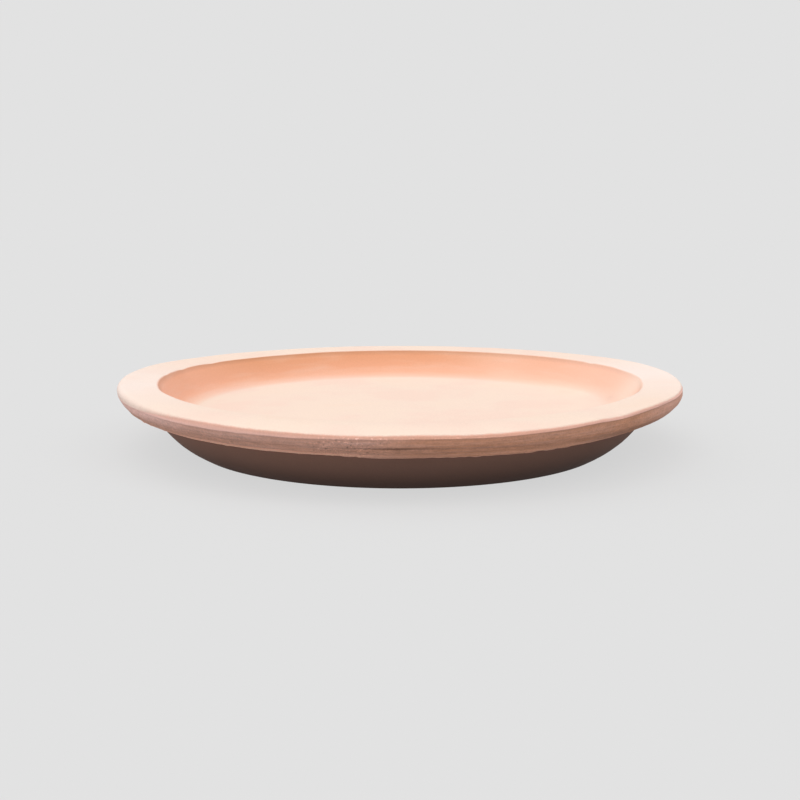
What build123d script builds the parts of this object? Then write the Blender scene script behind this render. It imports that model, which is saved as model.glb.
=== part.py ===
# Round plant saucer of unglazed terracotta, made as one piece of clay: pressed over a mould that
# shapes the foot and the bowl of the lower wall, then finished by hand on the wheel above the
# mould's edge. That leaves a broad brim that rises a little outwards to a rounded nose, an undercut
# band with a tool line around it, and a lip that overhangs the lower wall. The origin is on the
# surface that the saucer stands on, at the middle of its foot, and +Z is up.
import os

from build123d import *

# Whole saucer
brim_diameter = 220.0
saucer_height = 26.0

# Dish that holds the pot and its water
brim_width = 15.2
brim_rise = 0.5
dish_depth = 11.9
dish_wall_run = 9.8
cove_radius = 12.0
dish_edge_round = 1.2

# Brim's outer edge, the band under it and the lip at the band's lower end
nose_radius = 3.0
rim_thickness = 10.5
band_undercut = 8.6
band_bulge = 0.6
lip_round = 0.7

# Line that the finishing tool leaves around the band
tool_line_share = 0.52
tool_line_radius = 0.6

# Lower wall under the lip
lip_overhang = 4.4
neck_round = 1.2
lower_wall_run = 16.0
lower_wall_bulge = 1.6

# Foot ring and the shallow recess inside it
foot_round = 1.0
foot_ring_width = 9.0
underside_recess = 2.0
recess_round_share = 0.4

# Radii from the axis, and heights above the surface that the saucer stands on
brim_radius = brim_diameter / 2
dish_radius = brim_radius - brim_width
lip_radius = brim_radius - band_undercut
neck_radius = lip_radius - lip_overhang
foot_radius = neck_radius - lower_wall_run
dish_edge_height = saucer_height - brim_rise
floor_height = dish_edge_height - dish_depth
lip_height = saucer_height - rim_thickness
recess_round = underside_recess * recess_round_share

# Corners of the half section, each as radius and height
floor_corner = (dish_radius - dish_wall_run, floor_height)
dish_edge = (dish_radius, dish_edge_height)
nose_top = (brim_radius - nose_radius, saucer_height)
nose_side = (brim_radius, saucer_height - nose_radius)
lip_edge = (lip_radius, lip_height)
neck_corner = (neck_radius, lip_height)
foot_edge = (foot_radius, 0)
ring_inner_edge = (foot_radius - foot_ring_width, 0)
recess_corner = (foot_radius - foot_ring_width, underside_recess)

# Each corner of the section that is softened, with its radius
softened_corners = [
    (floor_corner, cove_radius),
    (dish_edge, dish_edge_round),
    (lip_edge, lip_round),
    (neck_corner, neck_round),
    (foot_edge, foot_round),
    (ring_inner_edge, recess_round),
    (recess_corner, recess_round),
]

# Saucer: the half section turned about the axis
with BuildPart() as saucer_dish:
    with BuildSketch(Plane.XZ) as section:
        with BuildLine() as outline:
            Polyline((0, underside_recess), (0, floor_height), floor_corner, dish_edge, nose_top)
            RadiusArc(nose_top, nose_side, nose_radius)
            band = SagittaArc(nose_side, lip_edge, band_bulge)
            Line(lip_edge, neck_corner)
            SagittaArc(neck_corner, foot_edge, lower_wall_bulge)
            Polyline(foot_edge, ring_inner_edge, recess_corner, (0, underside_recess))
        make_face()
        for corner, corner_radius in softened_corners:
            fillet(section.vertices().sort_by_distance(corner)[0], corner_radius)
        with Locations(band @ tool_line_share):
            Circle(tool_line_radius, mode=Mode.SUBTRACT)
    revolve(axis=Axis.Z)
saucer_dish.part.label = "saucer_dish"

os.makedirs("parts", exist_ok=True)
export_step(saucer_dish.part, "parts/saucer_dish.step")
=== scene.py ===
import math
import random

import bpy
import numpy as np
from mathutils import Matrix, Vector, noise


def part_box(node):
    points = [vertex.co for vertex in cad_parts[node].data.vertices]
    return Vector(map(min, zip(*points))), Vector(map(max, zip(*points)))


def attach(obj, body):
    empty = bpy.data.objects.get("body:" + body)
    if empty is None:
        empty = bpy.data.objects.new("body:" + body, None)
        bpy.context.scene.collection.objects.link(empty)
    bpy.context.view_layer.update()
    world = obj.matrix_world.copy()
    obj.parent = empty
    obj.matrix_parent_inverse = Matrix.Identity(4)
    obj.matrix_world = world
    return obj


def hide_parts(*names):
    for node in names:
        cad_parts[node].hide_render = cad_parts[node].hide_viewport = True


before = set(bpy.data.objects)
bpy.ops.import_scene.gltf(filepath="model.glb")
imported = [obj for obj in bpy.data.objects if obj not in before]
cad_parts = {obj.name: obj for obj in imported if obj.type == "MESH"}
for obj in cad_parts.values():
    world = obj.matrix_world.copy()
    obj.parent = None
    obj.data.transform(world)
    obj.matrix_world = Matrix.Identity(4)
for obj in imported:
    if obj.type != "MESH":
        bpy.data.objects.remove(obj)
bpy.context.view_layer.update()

# Lengths of the saucer are written in millimetres and turned to metres by this.
MM = 0.001

# Whole saucer, as the frame has it
top_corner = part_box("saucer_dish")[1]
BRIM_RADIUS = top_corner.x / MM
HEIGHT = top_corner.z / MM

# Brim and dish
BRIM_WIDTH = 15.2
BRIM_RISE = 0.5
DISH_DEPTH = 11.9
DISH_WALL_RUN = 9.8
COVE_RADIUS = 12.0
DISH_EDGE_ROUND = 1.2

# Nose of the brim, crease under it, band and lip, with the softer sizes that the worn left end has
NOSE_RADIUS = 0.8
SOFT_NOSE_RADIUS = 2.1
NOSE_DROP = 3.4
SOFT_NOSE_DROP = 2.9
CREASE_STEP = 0.3
SOFT_CREASE_STEP = 0.05
BAND_BULGE = 1.3
SOFT_BAND_BULGE = 1.8
RIM_THICKNESS = 10.5
BAND_UNDERCUT = 8.6
LIP_ROUND = 0.6

# Lower wall under the lip, and the foot
LIP_OVERHANG = 4.4
NECK_ROUND = 1.2
LOWER_WALL_RUN = 16.0
LOWER_WALL_BULGE = 1.6
FOOT_ROUND = 1.0
FOOT_RING_WIDTH = 9.0
UNDERSIDE_RECESS = 2.0
RECESS_ROUND = 0.8

# Radii from the axis, and heights above the surface that the saucer stands on
DISH_RADIUS = BRIM_RADIUS - BRIM_WIDTH
DISH_EDGE_HEIGHT = HEIGHT - BRIM_RISE
FLOOR_HEIGHT = DISH_EDGE_HEIGHT - DISH_DEPTH
LIP_RADIUS = BRIM_RADIUS - BAND_UNDERCUT
LIP_HEIGHT = HEIGHT - RIM_THICKNESS
NECK_RADIUS = LIP_RADIUS - LIP_OVERHANG
FOOT_RADIUS = NECK_RADIUS - LOWER_WALL_RUN
RING_RADIUS = FOOT_RADIUS - FOOT_RING_WIDTH

# Steps round the wheel, how far they crowd together towards the front, where the clay is torn, the distance
# within which points are merged, the reach of the points at the axis, which keep their radius, and the shift
# of the noise from one seed to the next
TURNS = 960
CROWDING = 0.42
MERGE_DISTANCE = 0.005
AXIS_REACH = 1.0
SEED_SHIFT = 13.7

# Marks of the hand and the kiln, in mm. Angles are in degrees from the front: 90 is the right end, -90 the
# left end and 180 the back. A bump is a direction, a width and a size. A slope is the angle where it starts,
# the angle from which it is whole, and a size. A stretch is the angles where it starts, is whole, begins to
# fade and has gone, and a size. A wave is a height, a length and a seed, and a width if it is drawn out round
# the wheel. Slopes and stretches fade out near the back, between the first two angles here.
BACK_FADE_START = 146
BACK_FADE_END = 176
WARP = 0.6
WARP_WAVE = (0.25, 95, 1)
EDGE_DROOP = (-78, -8, 15, 54, 1.65)
EDGE_DROOP_BUMPS = ((-106, 12, -0.3), (3, 5, -0.3), (23, 6, -0.18), (37, 7, -0.3), (40.5, 3.5, 0.35),
                    (55, 8, -0.3), (104, 18, -0.25))
EDGE_DROOP_REACH = 9
WORN_NOSE = (-170, -130, -58, -35, 1)
CREASE_STRETCHES = ((-150, -100, -18, -7, -0.2), (13, 56, 102, 125, 2.0))
CREASE_BUMPS = ((-11, 6, 0.15), (0, 8, 0.3), (8, 8, 0.2), (20, 12, 0.2), (23, 6, 0.2), (33, 4, 0.25),
                (36, 8, 0.3), (40.5, 3.5, -0.2), (55, 9, 0.4))
CREASE_WAVES = ((0.14, 12, 18), (0.10, 4, 19))
CREASE_WEAR_SHARE = 0.8
LIP_STRETCHES = ((-92, -66, -60, -35, 0.15), (-92, -66, -20, -12, 0.25), (22, 55, 78, 95, 0.75))
LIP_BUMPS = ((-53, 9, 0.45), (-12, 4, 0.2), (-4, 4, -0.2), (23, 9, -0.22), (53, 7, 0.3))
LIP_WAVE = (0.15, 14, 17)
LEFT_END_RISE = (-88, 14, 0.3)
LEFT_END_PULL = (-90, 18, 0.5)
LEFT_END_HOLLOW = (-86, 24, 0.45)
RIGHT_END_PULL = (90, 24, 0.9)
RIGHT_END_FULLNESS = (88, 18, 1.8)
BRIM_WAVES = ((0.12, 19, 2), (0.05, 7, 3))
DISH_WAVE = (0.10, 30, 4)
LOWER_WALL_WAVES = ((0.08, 60, 5, 4.0), (0.03, 40, 6, 1.4))
BAND_WAVES = ((0.08, 26, 7, 1.1), (0.05, 11, 8, 0.6), (0.05, 5, 9))
DISH_EDGE_WAVES = ((0.30, 17, 10), (0.14, 5, 11))
DISH_EDGE_DENTS = ((-130, 24, 0.45), (-119, 2.5, 0.35), (-105, 2.0, 0.4), (-94, 1.5, 0.3), (118, 1.5, 0.25))

# Tool line round the band, deep at the front and lower at the right, and the shallow hollow along it
LINE_PLACE_SHARE = 0.33
LINE_WIDTH = 0.34
LINE_DEPTH = 0.06
LINE_DEEP_PLACE = (-1, 7, 0.46)
LINE_DEPTH_WAVE = (0.08, 26, 12)
LINE_WANDER = (0.35, 30, 13)
LINE_DROP = (10, 24, 1.2)
HOLLOW_DEPTH = 0.26
HOLLOW_OFFSET = 0.6
HOLLOW_WIDTH = 1.4

# Burr along the lip, and two beads over it, each as its distance above the lip, its width and its height
RAGGED_SHARE = 0.2
RAGGED_WAVE = (1.6, 15, 14)
RAGGED_PLACES = ((-14, 4, 1), (13, 4, 0.8), (25, 4, 0.8))
BURR_WAVES = ((0.40, 3.4, 15), (0.36, 1.7, 16))
LIP_BEAD = (0.3, 0.5, 0.36)
UPPER_BEAD = (2.4, 0.9, 0.30)
UPPER_BEAD_SHARE = 0.4
UPPER_BEAD_LEFT = (-2, -12, 0.6)

# Crumbs and pits: a cluster left of the front and others strewn round the rim, each between two angles and
# two distances down the band, with the least and greatest size, the heights, the shares that wear leaves of
# them, and the number of sizes that a crumb spreads over
CRUMB_SEED = 7
CLUSTER_COUNT = 45
CLUSTER_ANGLES = (-14, -3)
CLUSTER_PLACES = (1.2, 9.0)
STREWN_COUNT = 260
STREWN_ANGLES = (-180, 180)
STREWN_PLACES = (1.2, 10.0)
CRUMB_SIZES = (0.32, 0.6)
CRUMB_HEIGHTS = (-0.26, 0.16, 0.22, 0.28)
CRUMB_WEAR_SHARES = (0.5, 1.0)
CRUMB_REACH = 3

# Where the film lies, as shares, with bumps, slopes and stretches as above. The film is partly painted light:
# it lies thickest where the light falls, on the flats, high on the right wall and on the left of the band.
LIT_WALL_HIGH_FILM = (110, 22, 1)
BAND_FILM_AND_LIGHT_LEFT = (8, -25, 0.55)
BAND_FILM_FRONT = (-6, 6, 0.25)
BAND_FILM_RIGHT = (5, 25, 120, 150, 0.16)
BAND_FILM_RIGHT_END = (42, 58, 100, 120, 0.25)
LIP_FILM = 0.3
STRIP_FILM = 0.12
STRIP_FILM_SLOPES = ((-5, -30, 0.25), (15, 35, 0.25), (45, 58, 0.2))
STRIP_FILM_BUMP = (41, 7, 0.15)
ASHY_ENDS = ((-78, 24, 0.75), (94, 26, 0.85))
FLAKED_PLACES = ((-6, 7, 1.3), (9, 10, 0.4))

# How far the film reaches past the middle of the nose, in mm, how much further where the nose is worn, and the
# share by which wear blurs the film's edge
FILM_OVERLAP = 0.35
WORN_FILM_OVERLAP = 0.25
WORN_FILM_BLUR = 0.85

# Where the clay is torn, scraped and rich, and where painted light makes it paler on the right of the dish's
# wall and lighter on the lower wall at the left, as shares. The rich wall has angles with their shares.
TORN_CLUSTER = (-9, 6, 1)
TORN_ABOVE_LIP = (20, 11, 0.5)
TORN_LEFT = (-75, -55, -30, -20, 0.35)
TORN_BURR = 0.6
STRIP_SCRAPE = 0.25
RICH_WALL = ((-180, 0.95), (-135, 1), (-107, 0.35), (-98, 0.32), (-83, 0), (114, 0), (152, 0.9), (180, 0.95))
RICH_BAND = 0.35
RICH_BAND_SLOPES = ((-10, 45, 0.5), (48, 62, -0.3))
RICH_BAND_WEAR = 0.7
LIT_WALL_PLACES = ((84, 14, 0.9), (112, 26, 0.3), (149, 13, 0.25))
PAINTED_LIGHT_LEFT = (5, -20, 0.08)

# Where painted shade darkens the clay, with one small smudge in the cove, and where painted highlights lighten
# it, as shares
EDGE_SHADE = 0.22
EDGE_SHADE_GAP = (88, 25, 0.6)
HOLLOW_SHADE = (2, 14, 0.16)
CREASE_SHADE = (-50, -30, 0.10)
CREASE_SHADE_SHARE = 0.4
CREASE_SHADE_WAVE = (1.5, 9, 20)
COVE_SMUDGE = (95, 2.5, 0.07)
NECK_SHADE = (45, 14, 0.12)
LOW_BAND_SHADE = (50, 15, 0.30)
FOOT_SHADE = (55, 36, 0.62)
LIP_LIGHT = 0.9
LIP_LIGHT_SLOPES = ((-2, -12, 0.6), (14, 24, 0.2), (32, 40, -0.5))
LIP_LIGHT_DIP = (5, 6, -0.3)
LIP_EDGE_LIGHT = 0.6
LIP_EDGE_LIGHT_RIGHT = (30, 42, 70, 85, 0.4)
BAND_LIGHT_RIGHT = (44, 56, 90, 110, 0.2)
WORN_NOSE_LIGHT = 0.5
STRIP_LIGHT_SLOPES = ((-62, -38, 0.22), (46, 58, 0.12))
STRIP_LIGHT_BUMPS = ((-20, 7, -0.10), (4, 6, -0.08), (28, 9, 0.10), (41, 6, 0.14))


def section_corners(nose_radius, nose_drop, crease_step, band_bulge):
    """Corners from the middle of the floor round to the middle of the underside: radius and height, rounding,
    points in that rounding, then the name of the run that follows, its points and its outward bulge."""
    crease_height = HEIGHT - nose_drop
    nose_height = DISH_EDGE_HEIGHT + BRIM_RISE * BRIM_WIDTH / (BRIM_WIDTH - nose_radius)
    return [
        ((0, FLOOR_HEIGHT), 0, 1, "floor", 4, 0),
        ((DISH_RADIUS - DISH_WALL_RUN, FLOOR_HEIGHT), COVE_RADIUS, 8, "wall", 4, 0),
        ((DISH_RADIUS, DISH_EDGE_HEIGHT), DISH_EDGE_ROUND, 5, "brim", 8, 0),
        ((BRIM_RADIUS, nose_height), nose_radius, 6, "nose", 5, 0),
        ((BRIM_RADIUS, crease_height), 0, 1, "crease", 1, 0),
        ((BRIM_RADIUS - crease_step, crease_height - crease_step), 0, 1, "band", 26, band_bulge),
        ((LIP_RADIUS, LIP_HEIGHT), LIP_ROUND, 5, "ledge", 4, 0),
        ((NECK_RADIUS, LIP_HEIGHT), NECK_ROUND, 4, "lower_wall", 10, LOWER_WALL_BULGE),
        ((FOOT_RADIUS, 0), FOOT_ROUND, 3, "foot_ring", 2, 0),
        ((RING_RADIUS, 0), RECESS_ROUND, 3, "recess", 1, 0),
        ((RING_RADIUS, UNDERSIDE_RECESS), RECESS_ROUND, 3, "underside", 2, 0),
        ((0, UNDERSIDE_RECESS), 0, 1, "end", 0, 0),
    ]


def rounding(before, corner, after, radius, count):
    """Points of the arc that softens a corner between two straight runs."""
    if radius == 0:
        return [corner]
    to_before = (before - corner).normalized()
    to_after = (after - corner).normalized()
    half = to_before.angle(to_after) / 2
    middle = corner + (to_before + to_after).normalized() * radius / math.sin(half)
    first = corner + to_before * radius / math.tan(half) - middle
    last = corner + to_after * radius / math.tan(half) - middle
    return [middle + radius * first.slerp(last, i / (count - 1)) for i in range(count)]


def draw_section(rows):
    """Points of the half section, and the number of the point at which each run begins and ends."""
    corners = [Vector(row[0]) for row in rows]
    arcs = []
    for i, (_, radius, count, *_) in enumerate(rows):
        before = corners[max(i - 1, 0)]
        after = corners[min(i + 1, len(corners) - 1)]
        arcs.append(rounding(before, corners[i], after, radius, count))
    points = []
    numbers = {}
    for (_, _, _, run, count, bulge), arc, following in zip(rows, arcs, arcs[1:] + [[]]):
        points += arc
        numbers[run] = len(points) - 1
        if not following:
            break
        start, end = arc[-1], following[0]
        forward = (end - start).normalized()
        outward = Vector((-forward.y, forward.x))
        for k in range(1, count):
            share = k / count
            points.append(start.lerp(end, share) + outward * 4 * bulge * share * (1 - share))
        numbers[run + "_end"] = len(points)
    return points, numbers


def select_only(obj):
    """Make one object the active and only selected one."""
    bpy.ops.object.select_all(action="DESELECT")
    obj.select_set(True)
    bpy.context.view_layer.objects.active = obj


def turn_section(points):
    """Draw the half section point by point and turn it about the upright axis, as on the wheel."""
    bpy.ops.object.select_all(action="DESELECT")
    bpy.ops.mesh.primitive_plane_add(size=MM, location=(0, 0, points[0].y * MM))
    saucer = bpy.context.object
    saucer.name = "terracotta_saucer"
    select_only(saucer)
    bpy.ops.object.transform_apply(location=True, rotation=False, scale=False)
    bpy.ops.object.mode_set(mode="EDIT")
    bpy.ops.mesh.select_all(action="SELECT")
    bpy.ops.mesh.merge(type="CENTER")
    for here, there in zip(points, points[1:]):
        move = (there - here) * MM
        bpy.ops.mesh.extrude_region_move(TRANSFORM_OT_translate={"value": (move.x, 0, move.y)})
    bpy.ops.object.mode_set(mode="OBJECT")
    bpy.ops.object.modifier_add(type="SCREW")
    wheel = saucer.modifiers[-1]
    wheel.axis = "Z"
    wheel.angle = math.tau
    wheel.steps = TURNS
    wheel.render_steps = TURNS
    wheel.use_merge_vertices = True
    wheel.merge_threshold = MERGE_DISTANCE * MM
    bpy.ops.object.modifier_apply(modifier=wheel.name)
    bpy.ops.object.mode_set(mode="EDIT")
    bpy.ops.mesh.select_all(action="SELECT")
    bpy.ops.mesh.remove_doubles(threshold=MERGE_DISTANCE * MM)
    bpy.ops.mesh.normals_make_consistent(inside=False)
    bpy.ops.object.mode_set(mode="OBJECT")
    bpy.ops.object.shade_smooth()
    return saucer


points, numbers = draw_section(section_corners(NOSE_RADIUS, NOSE_DROP, CREASE_STEP, BAND_BULGE))
soft_points, _ = draw_section(
    section_corners(SOFT_NOSE_RADIUS, SOFT_NOSE_DROP, SOFT_CREASE_STEP, SOFT_BAND_BULGE))
saucer = turn_section(points)
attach(saucer, "root")
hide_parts("saucer_dish")

# Each vertex is found again on the section, so that the marks can move it along the section's normal.
section = np.array([tuple(point) for point in points])
soft_section = np.array([tuple(point) for point in soft_points])
steps = np.diff(section, axis=0)
length = np.concatenate([[0], np.cumsum(np.hypot(steps[:, 0], steps[:, 1]))])
tangent = np.gradient(section, length, axis=0)
tangent /= np.linalg.norm(tangent, axis=1)[:, None]

flat = np.empty(len(saucer.data.vertices) * 3)
saucer.data.vertices.foreach_get("co", flat)
place = flat.reshape(-1, 3) / MM
radius = np.hypot(place[:, 0], place[:, 1])
spot = np.argmin(abs(radius[:, None] - section[:, 0]) + abs(place[:, 2:3] - section[:, 1]), axis=1)
along = length[spot]
normal_out = -tangent[spot, 1]
normal_up = tangent[spot, 0]

# The steps round the wheel crowd together towards the front.
angle = np.arctan2(place[:, 0], -place[:, 1])
angle -= CROWDING * np.sin(angle)
place[:, 0] = radius * np.sin(angle)
place[:, 1] = -radius * np.cos(angle)
around = np.degrees(angle)
off_back = np.clip((BACK_FADE_END - abs(around)) / (BACK_FADE_END - BACK_FADE_START), 0, 1)


def at(name):
    """How far along the section a run begins, or ends."""
    return length[numbers[name]]


def profile(*pairs):
    """A value that goes from one given level to the next along the section."""
    return np.interp(along, [pair[0] for pair in pairs], [pair[1] for pair in pairs])


def turned(*pairs):
    """A value that goes from one given level to the next round the saucer, from the back by way of the left."""
    return np.interp(around, [pair[0] for pair in pairs], [pair[1] for pair in pairs])


def hump(distance, width):
    """One at no distance, fading to zero over a width."""
    return np.exp(-(distance / width) ** 2)


def ridge(middle, width):
    """A hump across a place along the section."""
    return hump(along - middle, width)


def rise(start, end):
    """Zero before a first angle, one past a second, smooth between, and fading to zero at the very back."""
    share = np.clip((around - start) / (end - start), 0, 1)
    return share * share * (3 - 2 * share) * off_back


def bumps(*rows):
    """Sum of bumps round the saucer."""
    return sum(size * hump((around - direction + 180) % 360 - 180, width) for direction, width, size in rows)


def slopes(*rows):
    """Sum of slopes round the saucer."""
    return sum(size * rise(start, whole) for start, whole, size in rows)


def stretches(*rows):
    """Sum of stretches round the saucer."""
    return sum(size * rise(start, whole) * rise(gone, fading) for start, whole, fading, gone, size in rows)


def uneven(size, seed, across=0.0):
    """Smooth noise from -1 to 1 with lumps of one size, in mm, and another across the section if given."""
    if across:
        spread = np.column_stack([place[:, :2] / size, along / across])
    else:
        spread = place / size
    return np.array([noise.noise(Vector(p)) for p in spread + SEED_SHIFT * seed])


def waves(*rows):
    """Sum of waves over the clay."""
    return sum(height * uneven(size, seed, *across) for height, size, seed, *across in rows)


def bead(above, width, height):
    """A bead all along the lip."""
    return height * ridge(lip_start - above, width)


# Places along the section, from the middle of the floor outwards and down to the foot
cove_start = at("floor_end")
cove_end = at("wall")
cove = cove_end - cove_start
edge_start = at("wall_end")
edge_end = at("brim")
nose_start = at("brim_end")
nose_side = at("nose")
nose_middle = (nose_start + nose_side) / 2
crease = at("nose_end")
band_start = at("band")
lip_start = at("band_end")
lip_end = at("ledge")
neck_start = at("ledge_end")
neck_end = at("lower_wall")
foot_start = at("lower_wall_end")
ring_start = at("foot_ring")
ring_end = at("foot_ring_end")

# Parts of the section: one where the part is whole, fading to zero past its ends
on_dish = profile((0, 1), (cove_start + 6, 1), (edge_start, 0))
inner_wall = profile((cove_start, 0), (cove_end, 1), (edge_start, 1), (edge_end, 0))
upper_wall = profile((cove_start, 0), (cove_end, 0.5), (edge_start, 1), (edge_end, 0))
on_edge = profile((edge_start - 3, 0), (edge_start, 1), (edge_end, 1), (edge_end + 3, 0))
on_brim = profile((edge_start - 2, 0), (edge_end, 1), (nose_side, 1), (band_start, 0))
nose_strip = profile((nose_middle - 0.2, 0), (nose_middle + 0.3, 1), (crease, 1), (band_start, 0))
on_band = profile((nose_side - 0.3, 0), (band_start, 1), (lip_start, 1), (lip_end, 0))
bare_band = profile((crease, 0), (band_start, 1), (lip_start, 1), (lip_end, 0))
scraped = profile((crease - 0.3, 0), (band_start + 0.8, 1), (lip_start, 1), (lip_end, 0))
on_lip = profile((lip_start - 1, 0), (lip_start, 1), (lip_end, 1), (lip_end + 1, 0))
on_lower_wall = profile((neck_end - 1, 0), (neck_end + 2, 1), (foot_start - 3, 1), (foot_start, 0))

# The rim warped in the kiln: its ends stand higher than front and back, with a further rise at the left end,
# and the brim's edge droops at the front.
ease = np.clip(place[:, 2] / LIP_HEIGHT, 0, 1) ** 2
lift = ease * WARP * (place[:, 0] ** 2 - place[:, 1] ** 2) / BRIM_RADIUS ** 2
lift += ease * waves(WARP_WAVE)
outer_rim = profile((nose_start - EDGE_DROOP_REACH, 0), (nose_start, 1))
droop = stretches(EDGE_DROOP) + bumps(*EDGE_DROOP_BUMPS)
lift -= droop * outer_rim ** 2 * profile((nose_side, 1), (crease, 0))
lift += bumps(LEFT_END_RISE) * outer_rim * profile((neck_start, 1), (neck_end + 4, 0))

# The nose is worn round at the left end, the crease below climbs at the right, and the lip rises and falls.
worn_nose = stretches(WORN_NOSE)
nose_in, nose_down = ((soft_section - section)[spot] * worn_nose[:, None]).T
lift += nose_down
crease_lift = stretches(*CREASE_STRETCHES) + bumps(*CREASE_BUMPS) + waves(*CREASE_WAVES)
crease_lift *= 1 - CREASE_WEAR_SHARE * worn_nose
lift += crease_lift * profile((nose_side, 0), (crease, 1), (band_start, 1), (band_start + 5, 0))
lip_lift = stretches(*LIP_STRETCHES) + bumps(*LIP_BUMPS)
lift += lip_lift * profile((band_start + 3, 0), (lip_start, 1), (neck_start, 1), (neck_end + 4, 0))
lift += on_lip * waves(LIP_WAVE)

# Both ends of the rim are pulled in at the nose. The band is hollow at the left end and full at the right one.
nose_in -= bumps(LEFT_END_PULL) * profile((nose_start, 0), (crease, 1), (band_start + 2, 0.6),
                                          (lip_start, 0))
nose_in -= bumps(RIGHT_END_PULL) * profile((nose_start - 8, 0), (nose_start, 1), (nose_side, 1),
                                           (band_start, 0.35), (lip_start, 0.2))
swell = bumps(RIGHT_END_FULLNESS) * profile((crease, 0), (band_start + 1.5, 1), (band_start + 5, 0.8),
                                            (lip_start, 0))
swell -= bumps(LEFT_END_HOLLOW) * profile((crease, 0), (band_start + 2.5, 1), (lip_start, 0.6), (lip_end, 0))

# No face is quite even, and the edge of the dish wavers, sags at the back left and has shallow nicks.
swell += on_brim * waves(*BRIM_WAVES)
swell += on_dish * waves(DISH_WAVE)
swell += on_lower_wall * waves(*LOWER_WALL_WAVES)
swell += scraped * waves(*BAND_WAVES)
swell -= on_edge * bumps(*DISH_EDGE_DENTS)
inward = on_edge * waves(*DISH_EDGE_WAVES)

# The tool line with its hollow
line_depth = np.clip(LINE_DEPTH + bumps(LINE_DEEP_PLACE) + waves(LINE_DEPTH_WAVE), 0, 1)
from_line = along - band_start - LINE_PLACE_SHARE * (lip_start - band_start)
from_line -= waves(LINE_WANDER) + slopes(LINE_DROP)
swell -= line_depth * hump(from_line, LINE_WIDTH)
swell -= HOLLOW_DEPTH * hump(from_line - HOLLOW_OFFSET, HOLLOW_WIDTH)

# The burr and the beads
ragged = np.clip(RAGGED_SHARE + waves(RAGGED_WAVE), 0, 1) + bumps(*RAGGED_PLACES)
swell += on_lip * ragged * waves(*BURR_WAVES)
swell += bead(*LIP_BEAD)
swell += bead(*UPPER_BEAD) * (UPPER_BEAD_SHARE + slopes(UPPER_BEAD_LEFT))

# The crumbs and pits
chance = random.Random(CRUMB_SEED)
crumbs = [(chance.uniform(*CLUSTER_ANGLES), chance.uniform(*CLUSTER_PLACES)) for _ in range(CLUSTER_COUNT)]
crumbs += [(chance.uniform(*STREWN_ANGLES), chance.uniform(*STREWN_PLACES)) for _ in range(STREWN_COUNT)]
arc_length = angle * BRIM_RADIUS
for direction, down_band in crumbs:
    size = chance.uniform(*CRUMB_SIZES)
    height = chance.choice(CRUMB_HEIGHTS) * chance.uniform(*CRUMB_WEAR_SHARES)
    apart = np.hypot(arc_length - math.radians(direction) * BRIM_RADIUS, along - band_start - down_band)
    close = apart < CRUMB_REACH * size
    swell[close] += height * hump(apart[close], size)

grown = radius + nose_in + normal_out * swell - inward
scale = np.where(radius > AXIS_REACH, grown / np.maximum(radius, AXIS_REACH), 1)
moved = np.column_stack([place[:, 0] * scale, place[:, 1] * scale, place[:, 2] + normal_up * swell + lift])
saucer.data.vertices.foreach_set("co", (moved * MM).ravel())
saucer.data.update()

# Film in the dish, partly painted light on the faces that catch the lamps: whole on the floor and the brim,
# thinning up the cove, and reaching higher at the right, where the wall faces the lamps
dish_film_and_light = profile((0, 1), (cove_start + 0.12 * cove, 1), (cove_start + 0.40 * cove, 0.45),
                    (cove_start + 0.75 * cove, 0.12), (cove_end, 0.05), (cove_end + 2, 0), (edge_start, 0),
                    (edge_end, 1))
high_film = profile((0, 1), (cove_start + 0.45 * cove, 1), (cove_start + 0.65 * cove, 0.6), (cove_end, 0.1),
                    (cove_end + 2, 0), (edge_start, 0), (edge_end, 1))
dish_film_and_light += (high_film - dish_film_and_light) * bumps(LIT_WALL_HIGH_FILM)

# Film on the band and the strip over it, partly painted light: thicker at the left, where the light falls on
# the band, and thickest where the nose is worn
band_film_and_light = on_band * (slopes(BAND_FILM_AND_LIGHT_LEFT) + bumps(BAND_FILM_FRONT))
band_film_and_light *= profile((band_start + 2, 1), (band_start + 5, 0.55))
band_film_and_light += on_band * stretches(BAND_FILM_RIGHT)
band_film_and_light += on_band * stretches(BAND_FILM_RIGHT_END) * profile((band_start + 3, 1), (band_start + 7, 0))
band_film_and_light += worn_nose * profile((nose_middle, 0.1), (crease, 0.5), (band_start, 0.6),
                                 (band_start + 2.5, 0.4), (band_start + 5, 0))
band_film_and_light += LIP_FILM * on_lip
band_film_and_light += nose_strip * (STRIP_FILM + slopes(*STRIP_FILM_SLOPES) + bumps(STRIP_FILM_BUMP))
crisp_film = 1 - WORN_FILM_BLUR * worn_nose
past_nose = (along - nose_middle - FILM_OVERLAP) * crisp_film - WORN_FILM_OVERLAP * worn_nose

# Clay: torn on the band and the burr, rich at the back of the dish and on the band, darker on the lower wall
# and the underside as painted shade, a little less so low on the left as painted light
torn = scraped * (bumps(TORN_CLUSTER) + stretches(TORN_LEFT))
torn += scraped * bumps(TORN_ABOVE_LIP) * ridge(lip_start - 2.5, 2.0)
torn += TORN_BURR * on_lip * np.clip(ragged, 0, 1)
rich_clay = turned(*RICH_WALL) * upper_wall
rich_clay += bare_band * (RICH_BAND + slopes(*RICH_BAND_SLOPES)) * (1 - RICH_BAND_WEAR * worn_nose)
# Painted shade on the lower wall and the underside, with less of it at the left as painted light
painted_low_shade = profile((lip_end, 0), (lip_end + 1.5, 0.73), (neck_end + 10, 0.87), (ring_start, 1), (ring_end, 0.5))
painted_low_shade -= slopes(PAINTED_LIGHT_LEFT) * profile((lip_end, 0), (lip_end + 1.5, 1), (neck_end + 6, 0.4),
                                     (neck_end + 14, 0))
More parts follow.
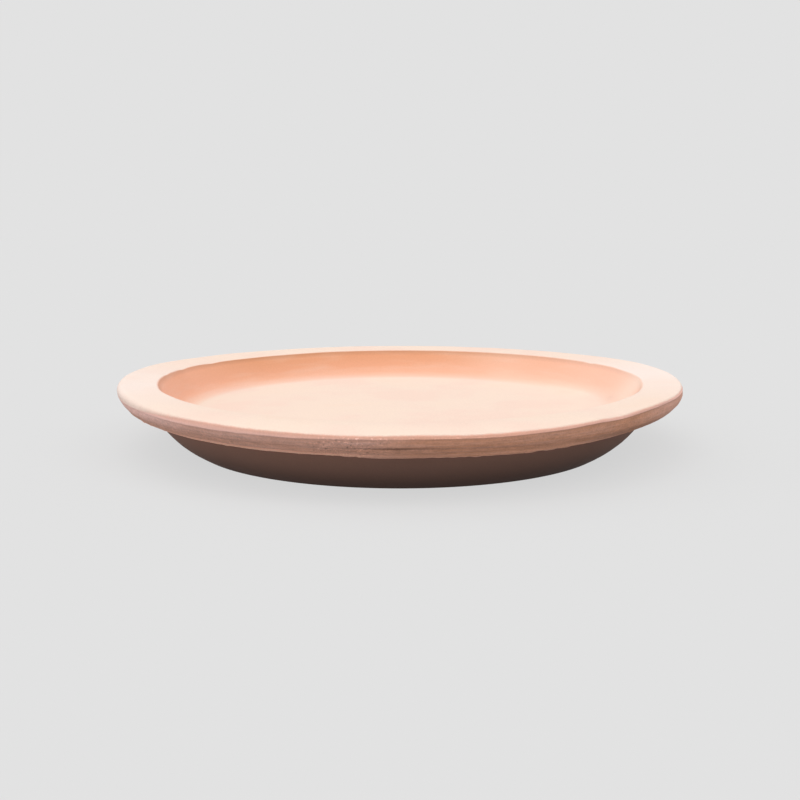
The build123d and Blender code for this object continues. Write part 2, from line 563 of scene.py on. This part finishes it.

# Painted shade under the dish's edge, in the hollow and the crease, under the lip and towards the foot, and one
# small grey smudge in the cove
painted_shade_and_smudge = EDGE_SHADE * ridge(edge_start - 0.2, 0.55) * (1 - bumps(EDGE_SHADE_GAP))
painted_shade_and_smudge += bumps(HOLLOW_SHADE) * hump(from_line - 1.6, 1.2)
patchy = np.clip(CREASE_SHADE_SHARE + waves(CREASE_SHADE_WAVE), 0, 1)
painted_shade_and_smudge += slopes(CREASE_SHADE) * patchy * ridge(band_start + 0.1, 0.35)
painted_shade_and_smudge += bumps(COVE_SMUDGE) * ridge(cove_start + 0.66 * cove, 1.5)
painted_shade_and_smudge += bumps(NECK_SHADE) * profile((neck_start, 0), (neck_end, 1), (neck_end + 8, 0))
painted_shade_and_smudge += bumps(LOW_BAND_SHADE) * profile((band_start + 3.5, 0), (band_start + 5.5, 1), (lip_start, 0.8),
                                          (lip_end, 0))
painted_shade_and_smudge += bumps(FOOT_SHADE) * profile((neck_end, 0), (foot_start, 1))

# Painted highlights: lighter lines over the lip and at its edge, on the worn nose, and on the strip under the
# brim
painted_highlight = ridge(lip_start - 2.8, 1.3) * (LIP_LIGHT + slopes(*LIP_LIGHT_SLOPES) + bumps(LIP_LIGHT_DIP))
painted_highlight += LIP_EDGE_LIGHT * ridge(lip_start - 0.7, 0.45)
painted_highlight += stretches(LIP_EDGE_LIGHT_RIGHT) * ridge(lip_start - 0.5, 0.7)
painted_highlight += stretches(BAND_LIGHT_RIGHT) * ridge(band_start + 1, 1.2)
painted_highlight += WORN_NOSE_LIGHT * worn_nose * profile((nose_side, 0), (crease, 1), (band_start + 2.5, 0.9),
                                                (band_start + 5, 0))
painted_highlight += nose_strip * (slopes(*STRIP_LIGHT_SLOPES) + bumps(*STRIP_LIGHT_BUMPS))

# Fields that the material reads, one value at each vertex
FIELDS = {
    # The two film fields are partly painted light on the faces that catch the lamps
    "dish_film_and_light": dish_film_and_light,
    "band_film_and_light": band_film_and_light,
    "crisp_film": crisp_film,
    "past_nose": past_nose,
    "ashy": on_brim * bumps(*ASHY_ENDS),
    "flaked": ridge(crease - 0.8, 1.0) * bumps(*FLAKED_PLACES),
    "scraped": scraped + STRIP_SCRAPE * nose_strip,
    "torn": np.clip(torn, 0, 1),
    "from_line": from_line,
    "line_depth": line_depth * on_band,
    "rich_clay": rich_clay,
    # Painted light on the right of the dish's wall
    "painted_light_wall": inner_wall * bumps(*LIT_WALL_PLACES),
    "washed_wall": inner_wall,
    # Painted shade on the lower wall and the underside
    "painted_low_shade": painted_low_shade,
    # Painted shade, with one small smudge in the cove
    "painted_shade_and_smudge": painted_shade_and_smudge,
    # Painted highlights
    "painted_highlight": painted_highlight,
}
for name, values in FIELDS.items():
    layer = saucer.data.attributes.new(name, "FLOAT", "POINT")
    layer.data.foreach_set("value", np.ascontiguousarray(values, dtype=np.float32))
layer = saucer.data.attributes.new("wheel", "FLOAT_VECTOR", "POINT")
layer.data.foreach_set("vector", (np.column_stack([place[:, :2], along]) * MM).astype(np.float32).ravel())


def linear(code):
    """An sRGB hex colour as linear red, green, blue and an alpha of one."""
    parts = [int(code[i:i + 2], 16) / 255 for i in (1, 3, 5)]
    return tuple(p / 12.92 if p <= 0.04045 else ((p + 0.055) / 1.055) ** 2.4 for p in parts) + (1,)


def add(tree, kind, inputs=None, **settings):
    """Add one node with its settings; an input is given a constant, or the node or socket that feeds it."""
    made = tree.nodes.new(kind)
    for name, value in settings.items():
        setattr(made, name, value)
    for socket, value in (inputs or {}).items():
        if isinstance(value, bpy.types.Node):
            value = value.outputs[0]
        if isinstance(value, bpy.types.NodeSocket):
            tree.links.new(value, made.inputs[socket])
        else:
            made.inputs[socket].default_value = value
    return made


def new_material(name):
    """An empty material, its node tree and its output node."""
    material = bpy.data.materials.new(name)
    material.use_nodes = True
    material.node_tree.nodes.clear()
    return material, material.node_tree, add(material.node_tree, "ShaderNodeOutputMaterial")


# Fired unglazed terracotta, pressed and hand-turned: a matt pinkish orange clay under a dry cream film that
# lies on the flats and wears off at the wall and the scraped band. The film is partly painted light on the
# faces that catch the lamps.
CLAY = "#E7AB90"
RICH_CLAY = "#CF9069"
# The next colour is painted light on the right of the dish's wall, and the one after it is painted shade on the
# lower wall and the underside
LIT_WALL_CLAY = "#EFD0BE"
LOW_SHADE_CLAY = "#59433A"
# The cream film and its tints are partly painted light on the faces that catch the lamps
LIT_CREAM_FILM = "#E2CEBE"
PINK_FILM = "#E2C8B9"
ROSE_FILM = "#E2B6AC"
ASHY_FILM = "#E5D6CE"
ROUGHNESS = 0.92
CLAY_IOR = 1.45

# Patterns of the clay and their size in mm, detail and roughness: broad blotches, sandy grain, patches that
# fray the film, and crumbs
EVEN_PATTERNS = {
    "blotch": (26, 2.0, 0.5),
    "grain": (0.6, 2.0, 0.6),
    "patch": (3, 3.0, 0.6),
    "crumb": (0.9, 1.0, 0.5),
}

# Patterns drawn out by the wheel, with their length round it and width across it in mm, detail and roughness:
# streaks of the scraper and smudges on the band, and the wash on the dish's wall
WHEEL_PATTERNS = {
    "streak": (18, 0.8, 3.0, 0.6),
    "smudge": (4, 1.4, 3.0, 0.6),
    "wash": (24, 4, 2.0, 0.5),
}

# Levels of the patterns between which crumbs stand proud, pits sink in and the film turns pink
PROUD_LEVELS = (0.56, 0.68)
PITTED_LEVELS = (0.36, 0.26)
PINK_LEVELS = (0.4, 0.65)

# Film: how far its edge frays and fades on the nose, in mm, the share of it left below the nose, the share by
# which blotches thin or thicken it, the share that flakes add, and the share by which the wash changes it
FILM_FRAY = 0.8
FILM_FADE = 0.4
FILM_BELOW_NOSE = 0.08
FILM_WEAR = 0.5
FILM_ON_FLAKES = 0.3
FILM_WASH = 0.6

# Tone: the shares by which each mark lightens or darkens the colour, the grain's share in the mottling, and
# where the tool line's shade begins to fade and has gone, in mm from its middle
GRAIN_TONE = 0.16
MOTTLE_TONE = 0.6
MOTTLE_GRAIN = 0.5
# Share of the painted highlights in the tone
PAINTED_HIGHLIGHT_TONE = 0.40
FLAKE_TONE = 0.45
LINE_TONE = -0.9
LINE_FADE = (0.2, 0.7)
CRUMB_TONE = 0.42

# Relief, in mm
GRAIN_RELIEF = 0.02
SCRAPED_RELIEF = 0.10
STREAK_RELIEF = 0.22
CRUMB_RELIEF = 0.14

material, tree, output = new_material("fired unglazed terracotta")
here = add(tree, "ShaderNodeTexCoord").outputs["Object"]
wheel = add(tree, "ShaderNodeAttribute", attribute_name="wheel").outputs["Vector"]
field = {name: add(tree, "ShaderNodeAttribute", attribute_name=name).outputs["Fac"] for name in FIELDS}
pattern = {}
for name, (size, detail, roughness) in EVEN_PATTERNS.items():
    pattern[name] = add(tree, "ShaderNodeTexNoise", {"Vector": here, "Scale": 1 / (size * MM),
                                                     "Detail": detail, "Roughness": roughness})
for name, (size, across, detail, roughness) in WHEEL_PATTERNS.items():
    stretch = (1 / (size * MM), 1 / (size * MM), 1 / (across * MM))
    drawn_out = add(tree, "ShaderNodeVectorMath", {0: wheel, 1: stretch}, operation="MULTIPLY")
    pattern[name] = add(tree, "ShaderNodeTexNoise", {"Vector": drawn_out, "Scale": 1.0, "Detail": detail,
                                                     "Roughness": roughness})
proud = add(tree, "ShaderNodeMapRange", {0: pattern["crumb"], 1: PROUD_LEVELS[0], 2: PROUD_LEVELS[1]})
pitted = add(tree, "ShaderNodeMapRange", {0: pattern["crumb"], 1: PITTED_LEVELS[0], 2: PITTED_LEVELS[1]})
flakes = add(tree, "ShaderNodeMath", {0: proud, 1: field["flaked"]}, operation="MULTIPLY")
lumpy = add(tree, "ShaderNodeMath", {0: proud, 1: pitted}, operation="SUBTRACT")
crumbly = add(tree, "ShaderNodeMath", {0: lumpy, 1: field["torn"]}, operation="MULTIPLY")
streaky = add(tree, "ShaderNodeMath", {0: pattern["streak"], 1: 0.5}, operation="SUBTRACT")
smeared = add(tree, "ShaderNodeMath", {0: streaky, 1: field["scraped"]}, operation="MULTIPLY")

# The film, partly painted light: whole on the flats, ending in a ragged edge on the nose, and smeared in
# streaks over the band
frayed = add(tree, "ShaderNodeMath", {0: pattern["patch"], 1: FILM_FRAY, 2: -FILM_FRAY / 2},
             operation="MULTIPLY_ADD")
past = add(tree, "ShaderNodeMath", {0: frayed, 1: field["crisp_film"], 2: field["past_nose"]},
           operation="MULTIPLY_ADD")
above = add(tree, "ShaderNodeMapRange", {0: past, 1: -FILM_FADE, 2: FILM_FADE, 3: 1.0, 4: FILM_BELOW_NOSE},
            interpolation_type="SMOOTHSTEP")
below = add(tree, "ShaderNodeMath", {0: 1.0, 1: above}, operation="SUBTRACT")
smears = add(tree, "ShaderNodeMath", {0: field["band_film_and_light"], 1: smeared}, operation="ADD")
smears = add(tree, "ShaderNodeMath", {0: smears, 1: below}, operation="MULTIPLY")
flats = add(tree, "ShaderNodeMath", {0: field["dish_film_and_light"], 1: above}, operation="MULTIPLY")
worn = add(tree, "ShaderNodeMath", {0: pattern["blotch"], 1: FILM_WEAR, 2: 1 - FILM_WEAR / 2},
           operation="MULTIPLY_ADD")
film_and_light = add(tree, "ShaderNodeMath", {0: flats, 1: worn, 2: smears}, operation="MULTIPLY_ADD")
film_and_light = add(tree, "ShaderNodeMath", {0: flakes, 1: FILM_ON_FLAKES, 2: film_and_light}, operation="MULTIPLY_ADD")
wash = add(tree, "ShaderNodeMath", {0: pattern["wash"], 1: FILM_WASH, 2: -FILM_WASH / 2},
           operation="MULTIPLY_ADD")
film_and_light = add(tree, "ShaderNodeMath", {0: wash, 1: field["washed_wall"], 2: film_and_light}, operation="MULTIPLY_ADD",
           use_clamp=True)

# The colours: clay from the dish's wall to the lower wall, lighter on the right of the wall as painted light
# and darker low down as painted shade, film from cream to rose, partly painted light, and film over clay
clay = linear(CLAY)
for share, other in ((field["rich_clay"], RICH_CLAY), (field["painted_light_wall"], LIT_WALL_CLAY),
                     (field["painted_low_shade"], LOW_SHADE_CLAY)):
    clay = add(tree, "ShaderNodeMix", {0: share, 6: clay, 7: linear(other)}, data_type="RGBA").outputs[2]
pinkish = add(tree, "ShaderNodeMapRange", {0: pattern["blotch"], 1: PINK_LEVELS[0], 2: PINK_LEVELS[1]})
film_and_light_colour = linear(LIT_CREAM_FILM)
for share, other in ((pinkish, PINK_FILM), (field["ashy"], ASHY_FILM), (below, ROSE_FILM)):
    film_and_light_colour = add(tree, "ShaderNodeMix", {0: share, 6: film_and_light_colour, 7: linear(other)}, data_type="RGBA").outputs[2]
colour = add(tree, "ShaderNodeMix", {0: film_and_light, 6: clay, 7: film_and_light_colour}, data_type="RGBA").outputs[2]

# The tone: sandy grain, painted shade, mottling on the band, painted highlights, flakes, painted shade in the
# tool line, crumbs and pits
# Painted shade along the tool line
off_line = add(tree, "ShaderNodeMath", {0: field["from_line"]}, operation="ABSOLUTE")
line = add(tree, "ShaderNodeMapRange", {0: off_line, 1: LINE_FADE[0], 2: LINE_FADE[1], 3: 1.0, 4: 0.0},
           interpolation_type="SMOOTHSTEP")
line_shade = add(tree, "ShaderNodeMath", {0: line, 1: field["line_depth"]}, operation="MULTIPLY")
mottle = add(tree, "ShaderNodeMath", {0: pattern["grain"], 1: MOTTLE_GRAIN, 2: pattern["smudge"]},
             operation="MULTIPLY_ADD")
mottle = add(tree, "ShaderNodeMath", {0: mottle, 1: MOTTLE_TONE, 2: -MOTTLE_TONE * (1 + MOTTLE_GRAIN) / 2},
             operation="MULTIPLY_ADD")
tone = add(tree, "ShaderNodeMath", {0: pattern["grain"], 1: GRAIN_TONE, 2: 1 - GRAIN_TONE / 2},
           operation="MULTIPLY_ADD")
tone = add(tree, "ShaderNodeMath", {0: tone, 1: field["painted_shade_and_smudge"]}, operation="SUBTRACT")
for mark, share in ((mottle, field["scraped"]), (field["painted_highlight"], PAINTED_HIGHLIGHT_TONE), (flakes, FLAKE_TONE),
                    (line_shade, LINE_TONE), (crumbly, CRUMB_TONE)):
    tone = add(tree, "ShaderNodeMath", {0: mark, 1: share, 2: tone}, operation="MULTIPLY_ADD")
tinted = add(tree, "ShaderNodeVectorMath", {0: colour, "Scale": tone}, operation="SCALE")

# The relief: fine grain, coarser on the band, its streaks, and the crumbs
coarse = add(tree, "ShaderNodeMath", {0: field["scraped"], 1: SCRAPED_RELIEF, 2: GRAIN_RELIEF},
             operation="MULTIPLY_ADD")
height = add(tree, "ShaderNodeMath", {0: pattern["grain"], 1: coarse}, operation="MULTIPLY")
for mark, share in ((smeared, STREAK_RELIEF), (crumbly, CRUMB_RELIEF)):
    height = add(tree, "ShaderNodeMath", {0: mark, 1: share, 2: height}, operation="MULTIPLY_ADD")
relief = add(tree, "ShaderNodeBump", {"Strength": 1.0, "Distance": MM, "Height": height})
shader = add(tree, "ShaderNodeBsdfPrincipled",
             {"Base Color": tinted, "Roughness": ROUGHNESS, "IOR": CLAY_IOR, "Normal": relief})
tree.links.new(shader.outputs[0], output.inputs["Surface"])
saucer.data.materials.append(material)

# Stage, in metres: a wide floor of matt studio paper, pale and even to the eye with the saucer's shadow on it,
# and a plain grey to the light that it sends back
BACKGROUND = "#E2E2E2"
FLOOR_SIZE = 8.0
PAPER_OWN_LIGHT = 0.815
PAPER_GREY = (0.11, 0.11, 0.11, 1)
BOUNCE_GREY = (0.34, 0.34, 0.34, 1)
WHITE = (1, 1, 1, 1)
FILL_STRENGTH = 0.55


def seen_directly(tree):
    """One where a ray comes straight from the eye, a mirror or glass, and zero for the light's own bounces."""
    path = add(tree, "ShaderNodeLightPath").outputs
    mirrored = add(tree, "ShaderNodeMath", {0: path["Is Glossy Ray"], 1: path["Is Transmission Ray"]},
                   operation="MAXIMUM")
    return add(tree, "ShaderNodeMath", {0: path["Is Camera Ray"], 1: mirrored}, operation="MAXIMUM")


bpy.ops.mesh.primitive_plane_add(size=FLOOR_SIZE)
floor = bpy.context.object
floor.name = "studio_floor"
material, tree, output = new_material("matt studio paper")
own_light = add(tree, "ShaderNodeEmission", {"Color": linear(BACKGROUND), "Strength": PAPER_OWN_LIGHT})
lit_paper = add(tree, "ShaderNodeBsdfDiffuse", {"Color": PAPER_GREY})
pale_paper = add(tree, "ShaderNodeAddShader", {0: own_light, 1: lit_paper})
grey_paper = add(tree, "ShaderNodeBsdfDiffuse", {"Color": BOUNCE_GREY})
paper = add(tree, "ShaderNodeMixShader", {0: seen_directly(tree), 1: grey_paper, 2: pale_paper})
tree.links.new(paper.outputs[0], output.inputs["Surface"])
floor.data.materials.append(material)

scene = bpy.context.scene
scene.world = bpy.data.worlds.new("studio air")
scene.world.use_nodes = True
tree = scene.world.node_tree
tree.nodes.clear()
output = add(tree, "ShaderNodeOutputWorld")
backdrop = add(tree, "ShaderNodeBackground", {"Color": linear(BACKGROUND), "Strength": 1.0})
fill = add(tree, "ShaderNodeBackground", {"Color": WHITE, "Strength": FILL_STRENGTH})
air = add(tree, "ShaderNodeMixShader", {0: seen_directly(tree), 1: fill, 2: backdrop})
tree.links.new(air.outputs[0], output.inputs["Surface"])

# Lamps: the direction that each shines from, its strength and its spread in degrees
LAMPS = {
    "window_left": ((-0.45, 0.15, 0.88), 0.86, 80),
    "window_front": ((-0.12, -0.55, 0.83), 1.32, 60),
    "lamp_right": ((0.62, -0.35, 0.70), 0.56, 30),
    "reflector_left": ((-0.93, -0.20, 0.30), 0.20, 40),
}
for name, (source, strength, spread) in LAMPS.items():
    bpy.ops.object.light_add(type="SUN", location=source)
    lamp = bpy.context.object
    lamp.name = name
    lamp.data.energy = strength
    lamp.data.angle = math.radians(spread)
    lamp.rotation_euler = (-Vector(source)).to_track_quat("-Z", "Y").to_euler()

# Camera: two brim diameters from the middle of the saucer and 10 degrees above it, aimed a little over that
TARGET = Vector((0, 0, 0.11 * BRIM_RADIUS * MM))
DISTANCE = 4 * BRIM_RADIUS * MM
ELEVATION = math.radians(10.0)
TILT_UP = math.radians(0.54)
LENS = 49.2
SENSOR_WIDTH = 36.0
CLIP_START = 0.01
TOWARDS_CAMERA = Vector((0, -math.cos(ELEVATION), math.sin(ELEVATION)))
bpy.ops.object.camera_add(location=TARGET + DISTANCE * TOWARDS_CAMERA)
camera = bpy.context.object
camera.data.lens = LENS
camera.data.sensor_width = SENSOR_WIDTH
camera.data.clip_start = CLIP_START
camera.rotation_euler = (math.radians(90) - ELEVATION + TILT_UP, 0, 0)
scene.camera = camera
scene.view_settings.view_transform = "Standard"
